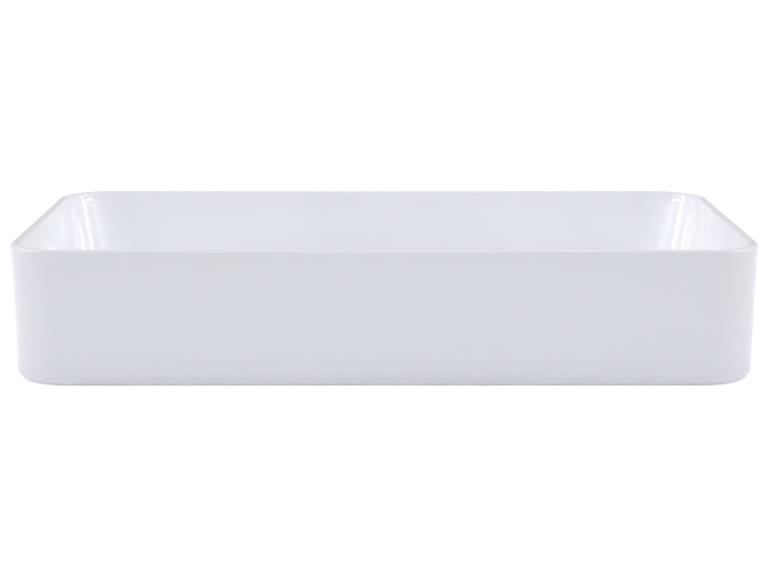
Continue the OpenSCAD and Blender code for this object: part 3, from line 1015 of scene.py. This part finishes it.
# %% Pad under the drain
pad_foot_round = 3 * mm
pad_edge = 1.5 * mm
hole_edge = 0.8 * mm
off_edge = 1 * mm
foot_of_pad, top_of_pad, top_of_hole, end_of_hole = [
    (pad_radius + pad_slope, hollow_roof), (pad_radius, pad_level),
    (drain_radius, pad_level), (drain_radius, seat_level),
]
roof_point = (pad_radius + 9 * mm, hollow_roof)
face_ends = ((pad_radius - off_edge, pad_level), (drain_radius + off_edge, pad_level))
hole_ends = ((drain_radius, pad_level + off_edge), (drain_radius, seat_level - off_edge))
keep_walk(drain_ring, rounded(foot_of_pad, roof_point, top_of_pad, pad_foot_round), hollow_glaze)
keep_walk(drain_ring, rounded(top_of_pad, foot_of_pad, top_of_hole, pad_edge), edge_glaze)
keep_walk(drain_ring, straight(*face_ends, 6))
keep_walk(drain_ring, rounded(top_of_hole, top_of_pad, end_of_hole, hole_edge), edge_glaze)
keep_walk(drain_ring, straight(*hole_ends, 3))
print("rings in all:", len(basin_rings))

# %% [markdown]
# Fired clay moves. The long sides draw in and sink a little in the middle, less than a millimetre, and
# the surface swells by hundredths of a millimetre, which is enough to bend the reflection of a lamp.
# Only the walls move, because the foot is ground flat, and they only move inwards, so the basin stays
# in the space that the frame gives it.

# %% The basin
rim_sag = 0.15 * mm
wall_draw = 0.5 * mm
swell_depth = 0.09 * mm
swell_size = 75 * mm
still_level = 30 * mm
swell_start = 4


def fire(piece):
    """Moves the points of the basin as the kiln does."""
    mesh = piece.data
    ways = [Vector(vertex.normal) for vertex in mesh.vertices]
    for vertex, way in zip(mesh.vertices, ways):
        place = vertex.co
        free = max(0.0, (place.z - still_level) / (basin_height - still_level))
        middle = 1 - min(1.0, abs(place.x) / half_core_x) ** 2
        swell = noise.noise(Vector(place) / swell_size) * 0.5 + 0.5
        inwards = -math.copysign(wall_draw * middle * free ** 2, place.y)
        at_wall = min(1.0, abs(place.y) / half_core_y)
        move = way * (-swell_depth * swell * min(1.0, swell_start * free))
        move.y += inwards * at_wall
        move.z -= rim_sag * middle * free ** 2 * at_wall
        vertex.co = place + move
    mesh.update()


basin = skin("basin_shell", [ring for ring, _, _ in basin_rings], glazed_ceramic, None, {
    glaze_and_shade_attribute: [glaze for _, glaze, _ in basin_rings],
    bare_attribute: [bare for _, _, bare in basin_rings],
})
fire(basin)
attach(basin, "basin")
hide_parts("ceramic_basin")
print("basin height in mm:", round(max(v.co.z for v in basin.data.vertices) / mm, 2))

# %% [markdown]
# The waste is turned, so most of its pieces are one section carried round the drain's axis. A corner
# that a tool has cut or a mould has formed is never quite sharp, so each corner of a section has its
# own small radius. Heights come from the frame wherever a CAD piece ends at them.

# %% Turned pieces
turn_steps = 96
crease_angle = 40


def round_ring(out, level, turns):
    """A round ring with a point at each of the turns."""
    return [(out * math.cos(turn), out * math.sin(turn), level) for turn in turns]


def turned(walk, steps=turn_steps):
    """The rings of a section carried round the drain's axis."""
    turns = [2 * math.pi * step / steps for step in range(steps)]
    return [round_ring(out, level, turns) for out, level in walk]


def place(piece, body, slot, *nodes):
    """Lets a piece ride on a body and stand for its CAD nodes. The slot is not used."""
    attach(piece, body)
    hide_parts(*nodes)


# %% [markdown]
# The waste body is a brass casting, turned and then plated. Its flange has a fully rounded edge, and
# its mouth is a cone that the plug's seal closes. The tail has a pipe thread outside, a rounded groove
# with eleven turns to the inch, which is cut here as a wave in the radius that climbs as it goes
# round. It fades into the chamfer at the tail's end and into the relief groove under the nut.

# %% Waste tail and flange
inch_in_mm = 25.4
turns_per_inch = 11
thread_pitch = inch_in_mm / turns_per_inch * mm
thread_depth = 1.2 * mm
thread_fullness = 0.8
thread_fade = 1.1 * mm
tail_radius = 20.955 * mm
tail_bore = 18 * mm
tail_chamfer = 0.8 * mm
groove_depth = 0.8 * mm
groove_height = 1 * mm
flange_edge = 1.5 * mm
mouth_radius = 22.5 * mm
mouth_depth = 5 * mm

waste_low, waste_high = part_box("waste_body")
tail_end = waste_low.z
flange_top = waste_high.z
flange_radius = waste_high.x
flange_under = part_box("flange_gasket")[1].z
groove_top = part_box("back_nut")[0].z
groove_low = groove_top - groove_height
thread_start = tail_end + tail_chamfer


def thread_cut(turn, level):
    """How deep the thread is cut at an angle and a level."""
    climb = level / thread_pitch - turn / (2 * math.pi)
    wave = (0.5 - 0.5 * math.cos(2 * math.pi * climb)) ** thread_fullness
    run_in = min(1.0, (level - thread_start) / thread_fade)
    run_out = min(1.0, (groove_low - level) / thread_fade)
    return thread_depth * wave * max(0.0, min(run_in, run_out))


def threaded_ring(level):
    """One ring of the threaded tail."""
    ring = []
    for step in range(turn_steps):
        turn = 2 * math.pi * step / turn_steps
        out = tail_radius - thread_cut(turn, level)
        ring.append((out * math.cos(turn), out * math.sin(turn), level))
    return ring


thread_rings = 66
upper_outline = [
    (tail_radius, groove_low), (tail_radius - groove_depth, groove_low),
    (tail_radius - groove_depth, groove_top), (tail_radius, groove_top),
    (tail_radius, flange_under), (flange_radius, flange_under),
    (flange_radius, flange_top), (mouth_radius, flange_top),
    (tail_bore, flange_top - mouth_depth), (tail_bore, tail_end),
    (tail_radius - tail_chamfer, tail_end), (tail_radius, thread_start),
]
upper_radii = in_mm(0.15, 0.3, 0.3, 0.1, 0.4, 0.2, flange_edge / mm, 0.5, 1.5, 0.3, 0.15, 0.1)
waste_rings = turned(soften(upper_outline, upper_radii, 6))
for step in range(1, thread_rings):
    waste_rings.append(threaded_ring(thread_start + (groove_low - thread_start) * step / thread_rings))
print("thread turns:", round((groove_low - thread_start) / thread_pitch, 1), "rings:", len(waste_rings))

# %% [markdown]
# Inside the tail a bar crosses from wall to wall with a hub in its middle, which carries the click
# cartridge. It is cast in one with the tail, so it has no sharp edges: small fillets where the bar
# leaves the hub, and soft edges above and below. A flat outline becomes such a slab by drawing it in
# a little at its first and last levels.

# %% Flat outlines and slabs
slab_steps = 4


def drawn_in(outline, distance):
    """A flat outline, which runs anticlockwise, moved inwards square to its own line."""
    moved = []
    for at, point in enumerate(outline):
        after = Vector(outline[(at + 1) % len(outline)])
        along = (after - Vector(outline[at - 1])).normalized()
        moved.append((point[0] - along.y * distance, point[1] + along.x * distance))
    return moved


def slab(outline, low, high, edge):
    """The rings of an upright slab with soft edges, from the lowest to the highest."""
    lower = arc((edge, low + edge), edge, 270, 180, slab_steps)
    upper = arc((edge, high - edge), edge, 180, 90, slab_steps)
    return [[(x, y, level) for x, y in drawn_in(outline, set_in)] for set_in, level in lower + upper]


def bore(outline, walk):
    """Round rings inside an outline, with a point for each of its points."""
    turns = [math.atan2(y, x) for x, y in outline]
    return [round_ring(out, level, turns) for out, level in walk]


# %% Hub and crossbar
hub_radius = 9.5 * mm
hub_bore = 5.05 * mm
hub_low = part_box("cartridge_end_cap")[0].z
hub_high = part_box("cartridge_barrel")[0].z
bar_half_width = 3 * mm
bar_reach = (tail_bore + tail_radius) / 2
bar_fillet = 1.2 * mm
cast_edge = 0.5 * mm
hub_half_turn = 62

hub_side = arc((0, 0), hub_radius, -hub_half_turn, hub_half_turn, 22)
bar_corner = (bar_half_width, math.sqrt(hub_radius ** 2 - bar_half_width ** 2))
bar_end = (bar_half_width, bar_reach)
bar_start = rounded(bar_corner, hub_side[-1], bar_end, bar_fillet)
bar_side = bar_start + straight(bar_corner, bar_end, 6)[2:] + [bar_end]
right_half = [(x, -y) for x, y in reversed(bar_side)] + hub_side + bar_side
hub_outline = right_half + [(-x, -y) for x, y in right_half]
hub_hole = bore(hub_outline, [(hub_bore, hub_high), (hub_bore, hub_low)])
hub_rings = slab(hub_outline, hub_low, hub_high, cast_edge) + hub_hole

waste_tail = skin("waste_tail", waste_rings, chrome, crease_angle)
crossbar = skin("waste_crossbar", hub_rings, chrome, crease_angle)
for piece in (waste_tail, crossbar):
    place(piece, "basin", "chrome", "waste_body")

# %% [markdown]
# The back nut is turned from hexagonal brass bar. The cone that the tool cuts at its lower end leaves
# the curved line across each flat that every nut has, and a countersink leads the thread in. Its rings
# go round the hexagon, and the cone's rings sit at their own height for each point.

# %% Back nut
nut_low, nut_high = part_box("back_nut")
nut_corner = nut_high.x
nut_half_flats = nut_corner * math.cos(math.radians(30))
nut_bore = tail_radius + 0.05 * mm
nut_face = nut_half_flats - 0.4 * mm
nut_corner_round = 0.9 * mm
nut_edge = 0.4 * mm
nut_bore_edge = 0.3 * mm
flat_steps = 14
countersink = 0.9 * mm
cone_rings = 5
nut_crease_angle = 25

corners = []
for sixth in range(6):
    turn = sixth * math.pi / 3
    corners.append((nut_corner * math.cos(turn), nut_corner * math.sin(turn)))
nut_outline = []
for at, corner in enumerate(corners):
    after = corners[(at + 1) % 6]
    nut_outline += rounded(corner, corners[at - 1], after, nut_corner_round, 4)
    nut_outline += straight(corner, after, flat_steps)[1:-1]

nut_rings = []
for step in range(cone_rings + 1):
    ring = []
    for x, y in nut_outline:
        reach = math.hypot(x, y)
        out = nut_face + (reach - nut_face) * step / cone_rings
        ring.append((x / reach * out, y / reach * out, nut_low.z + out - nut_face))
    nut_rings.append(ring)
upper_edge = slab(nut_outline, nut_low.z, nut_high.z, nut_edge)[slab_steps + 1:]
nut_rings += upper_edge
nut_rings += bore(nut_outline, [
    (nut_bore + nut_bore_edge, nut_high.z), (nut_bore, nut_high.z - nut_bore_edge),
    (nut_bore, nut_low.z + countersink), (nut_bore + countersink, nut_low.z),
])
back_nut = skin("nut_with_chamfers", nut_rings, brass, nut_crease_angle)
place(back_nut, "basin", "brass", "back_nut")

# %% [markdown]
# Two washers lie between the nut and the ceramic. The upper one is soft rubber with a collar that
# centres it in the drain hole, and it bulges a little where the nut squeezes it. The lower one is a
# thin hard plastic, so that the nut slides on it and doesn't drag the rubber round.

# %% Washers
washer_low, washer_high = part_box("lower_washer")
washer_radius = washer_high.x
collar_radius = drain_radius - 0.05 * mm
collar_top = washer_high.z
bulge = 0.35 * mm
collar_lead = 1 * mm

washer_outline = [
    (nut_bore, washer_low.z), (washer_radius - bulge, washer_low.z),
    (washer_radius, (washer_low.z + pad_level) / 2), (washer_radius - bulge, pad_level),
    (collar_radius, pad_level), (collar_radius - collar_lead, collar_top), (nut_bore, collar_top),
]
washer_radii = in_mm(0.3, 0.6, 1.2, 0.6, 0.4, 0.15, 0.1)
washer_rings = turned(soften(washer_outline, washer_radii))
rubber_washer = skin("rubber_washer", washer_rings, grey_rubber, crease_angle)
place(rubber_washer, "basin", "grey_rubber", "lower_washer")

slip_low, slip_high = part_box("slip_washer")
slip_outline = [
    (nut_bore, slip_low.z), (slip_high.x, slip_low.z),
    (slip_high.x, slip_high.z), (nut_bore, slip_high.z),
]
slip_rings = turned(soften(slip_outline, in_mm(0.2, 0.5, 0.3, 0.2)))
hard_washer = skin("hard_washer", slip_rings, white_plastic, crease_angle)
place(hard_washer, "basin", "white_plastic", "slip_washer")

# %% [markdown]
# The plug's cap is spun from sheet brass and plated. Its dome is a shallow part of a large sphere, and
# it runs into the straight edge over a small radius, which is where it catches the light. The walk
# starts and ends on the axis.

# %% Cap
cap_low, cap_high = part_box("plug_cap")
cap_radius = cap_high.x
cap_edge_top = cap_low.z + 3 * mm
cap_rise = cap_high.z - cap_edge_top
dome_radius = (cap_radius ** 2 + cap_rise ** 2) / (2 * cap_rise)
cap_inner = cap_radius - 2 * mm
cap_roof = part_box("plug_carrier")[1].z
dome_steps = 20
cap_turn_steps = 128
dome_share = 0.94
cap_edge_round = 1.1 * mm
outer_lip = 0.5 * mm
inner_lip = 0.4 * mm


def dome_level(out):
    """The dome's height at a distance from the axis."""
    return cap_high.z - dome_radius + math.sqrt(dome_radius ** 2 - out ** 2)


dome_walk = []
for step in range(dome_steps + 1):
    out = cap_radius * dome_share * step / dome_steps
    dome_walk.append((out, dome_level(out)))
edge_walk = rounded((cap_radius, cap_edge_top), dome_walk[-1], (cap_radius, cap_low.z), cap_edge_round, 8)
under_outline = [(cap_radius, cap_low.z), (cap_inner, cap_low.z), (cap_inner, cap_roof)]
lower_edge = rounded(under_outline[0], edge_walk[-1], under_outline[1], outer_lip)
inner_edge = rounded(under_outline[1], under_outline[0], under_outline[2], inner_lip)
cap_walk = dome_walk + edge_walk + lower_edge + inner_edge + [under_outline[2], (0, cap_roof)]
cap = skin("domed_cap", turned(cap_walk, cap_turn_steps), chrome, crease_angle, joined=False)
place(cap, "plug", "chrome", "plug_cap")

# %% [markdown]
# The seal is a moulded rubber ring that the carrier holds. It hangs under the cap as a cone with a
# soft lower lip, and a shallow groove round it lets it give when it meets the mouth.

# %% Seal
seal_low, seal_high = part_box("plug_seal")
seal_bore = 17.45 * mm
seal_rim = seal_high.x
seal_foot = seal_rim - 2.07 * mm
seal_shoulder = seal_high.z - 0.7 * mm
seal_groove = 0.25 * mm
groove_shares = (0.42, 0.55, 0.68)
seal_crease_angle = 50


def seal_side(share):
    """A point on the seal's cone, from its foot to its shoulder."""
    return (seal_foot + (seal_rim - seal_foot) * share, seal_low.z + (seal_shoulder - seal_low.z) * share)


groove_start, groove_bottom, groove_end = [seal_side(share) for share in groove_shares]
seal_outline = [
    (seal_bore, seal_low.z), seal_side(0), groove_start, (groove_bottom[0] - seal_groove, groove_bottom[1]),
    groove_end, seal_side(1), (seal_rim, seal_high.z), (seal_bore, seal_high.z),
]
seal_radii = in_mm(0.2, 0.35, 0.15, 0.15, 0.15, 0.3, 0.15, 0.1)
seal = skin("cone_seal", turned(soften(seal_outline, seal_radii, 3)), black_rubber, seal_crease_angle)
place(seal, "plug", "black_rubber", "plug_seal")

# %% [markdown]
# The return spring is wound from thin wire. Its coils are even in the middle and close up at both ends,
# where they bear on the end cap and on the rotor. In the real waste it shortens with the plug; here it
# keeps one length.

# %% Return spring
spring_low, spring_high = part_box("return_spring")
wire_radius = 0.45 * mm
coil_radius = 4.6 * mm
coil_turns = 6
steps_per_turn = 28
wire_sides = 10
end_closing = 0.6
wire_crease_angle = 60

spring_rings = []
for step in range(coil_turns * steps_per_turn + 1):
    share = step / (coil_turns * steps_per_turn)
    turn = 2 * math.pi * coil_turns * share
    climb = share - end_closing * math.sin(2 * math.pi * share) / (2 * math.pi)
    out = Vector((math.cos(turn), math.sin(turn), 0))
    first = spring_low.z + wire_radius
    middle = out * coil_radius
    middle.z = first + (spring_high.z - wire_radius - first) * climb
    ring = []
    for side in range(wire_sides):
        around = 2 * math.pi * side / wire_sides
        way = out * math.cos(around) + Vector((0, 0, math.sin(around)))
        ring.append(tuple(middle + way * wire_radius))
    spring_rings.append(ring)
spring = skin("wound_spring", spring_rings, spring_steel, wire_crease_angle, joined=False)
place(spring, "basin", "spring_steel", "return_spring")
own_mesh(spring)

# %% [markdown]
# The CAD nodes that stay only need their finish. Each one takes it in every material slot that its
# mesh has.

# %% Finishes of the CAD nodes that stay
finishes = {
    "flange_gasket": grey_rubber,
    "cartridge_barrel": white_plastic,
    "cartridge_end_cap": white_plastic,
    "spindle_oring": black_rubber,
    "index_rotor": white_plastic,
    "spindle": brass,
    "plug_carrier": white_plastic,
}
for name, material in finishes.items():
    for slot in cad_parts[name].material_slots:
        slot.material = material
print("finished nodes:", len(finishes))
